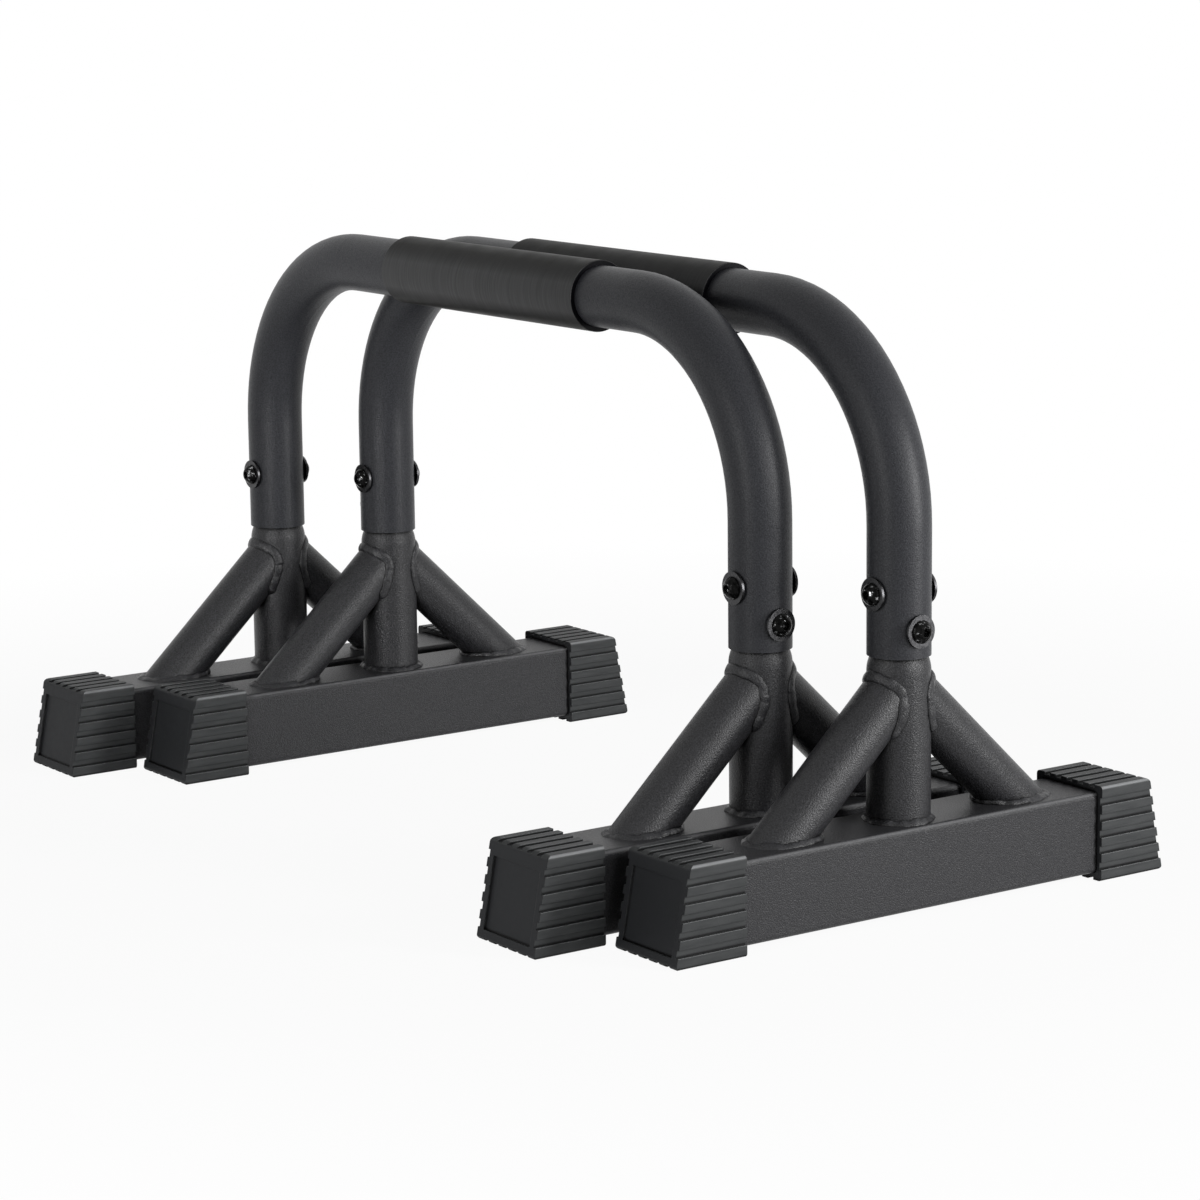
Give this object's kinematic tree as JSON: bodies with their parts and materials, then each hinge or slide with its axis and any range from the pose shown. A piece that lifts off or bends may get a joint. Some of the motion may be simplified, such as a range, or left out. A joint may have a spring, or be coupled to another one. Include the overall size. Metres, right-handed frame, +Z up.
{
  "type": "parallette bar pair",
  "caption": "Low steel training bars for handstands and dips: bent round handle with a grip sleeve, bolted onto braced feet with ribbed rubber end caps, shown nested.",
  "frame": {"origin": "on the floor, at the centre of the nested pair", "axes": "+X along the handles towards the picture's near end, +Y along the feet from the first bar to the second, +Z up"},
  "size_m": [0.8684, 0.5284, 0.4668],
  "materials": {
    "handle_paint": "satin powder coat",
    "grip_rubber": "smooth satin",
    "base_paint": "grained powder coat",
    "cap_rubber": "matte moulded",
    "bolt_steel": "black oxide",
    "washer_steel": "dark zinc",
    "nut_steel": "plain"
  },
  "bodies": {
    "bar_one": {"bar_one_handle_tube": "handle_paint", "bar_one_grip_sleeve": "grip_rubber", "bar_one_left_foot_beam": "base_paint", "bar_one_left_upright": "base_paint", "bar_one_left_front_brace": "base_paint", "bar_one_left_rear_brace": "base_paint", "bar_one_left_weld_beads": "base_paint", "bar_one_left_front_cap": "cap_rubber", "bar_one_left_rear_cap": "cap_rubber", "bar_one_left_bolts": "bolt_steel", "bar_one_left_washers": "washer_steel", "bar_one_left_weld_nuts": "nut_steel", "bar_one_right_foot_beam": "base_paint", "bar_one_right_upright": "base_paint", "bar_one_right_front_brace": "base_paint", "bar_one_right_rear_brace": "base_paint", "bar_one_right_weld_beads": "base_paint", "bar_one_right_front_cap": "cap_rubber", "bar_one_right_rear_cap": "cap_rubber", "bar_one_right_bolts": "bolt_steel", "bar_one_right_washers": "washer_steel", "bar_one_right_weld_nuts": "nut_steel"},
    "bar_two": {"bar_two_handle_tube": "handle_paint", "bar_two_grip_sleeve": "grip_rubber", "bar_two_left_foot_beam": "base_paint", "bar_two_left_upright": "base_paint", "bar_two_left_front_brace": "base_paint", "bar_two_left_rear_brace": "base_paint", "bar_two_left_weld_beads": "base_paint", "bar_two_left_front_cap": "cap_rubber", "bar_two_left_rear_cap": "cap_rubber", "bar_two_left_bolts": "bolt_steel", "bar_two_left_washers": "washer_steel", "bar_two_left_weld_nuts": "nut_steel", "bar_two_right_foot_beam": "base_paint", "bar_two_right_upright": "base_paint", "bar_two_right_front_brace": "base_paint", "bar_two_right_rear_brace": "base_paint", "bar_two_right_weld_beads": "base_paint", "bar_two_right_front_cap": "cap_rubber", "bar_two_right_rear_cap": "cap_rubber", "bar_two_right_bolts": "bolt_steel", "bar_two_right_washers": "washer_steel", "bar_two_right_weld_nuts": "nut_steel"}
  },
  "joints": [
    {"name": "spacing", "type": "slide", "parent": "bar_one", "child": "bar_two", "axis": [0, 1, 0], "range_m": [0, 0.45]}
  ]
}
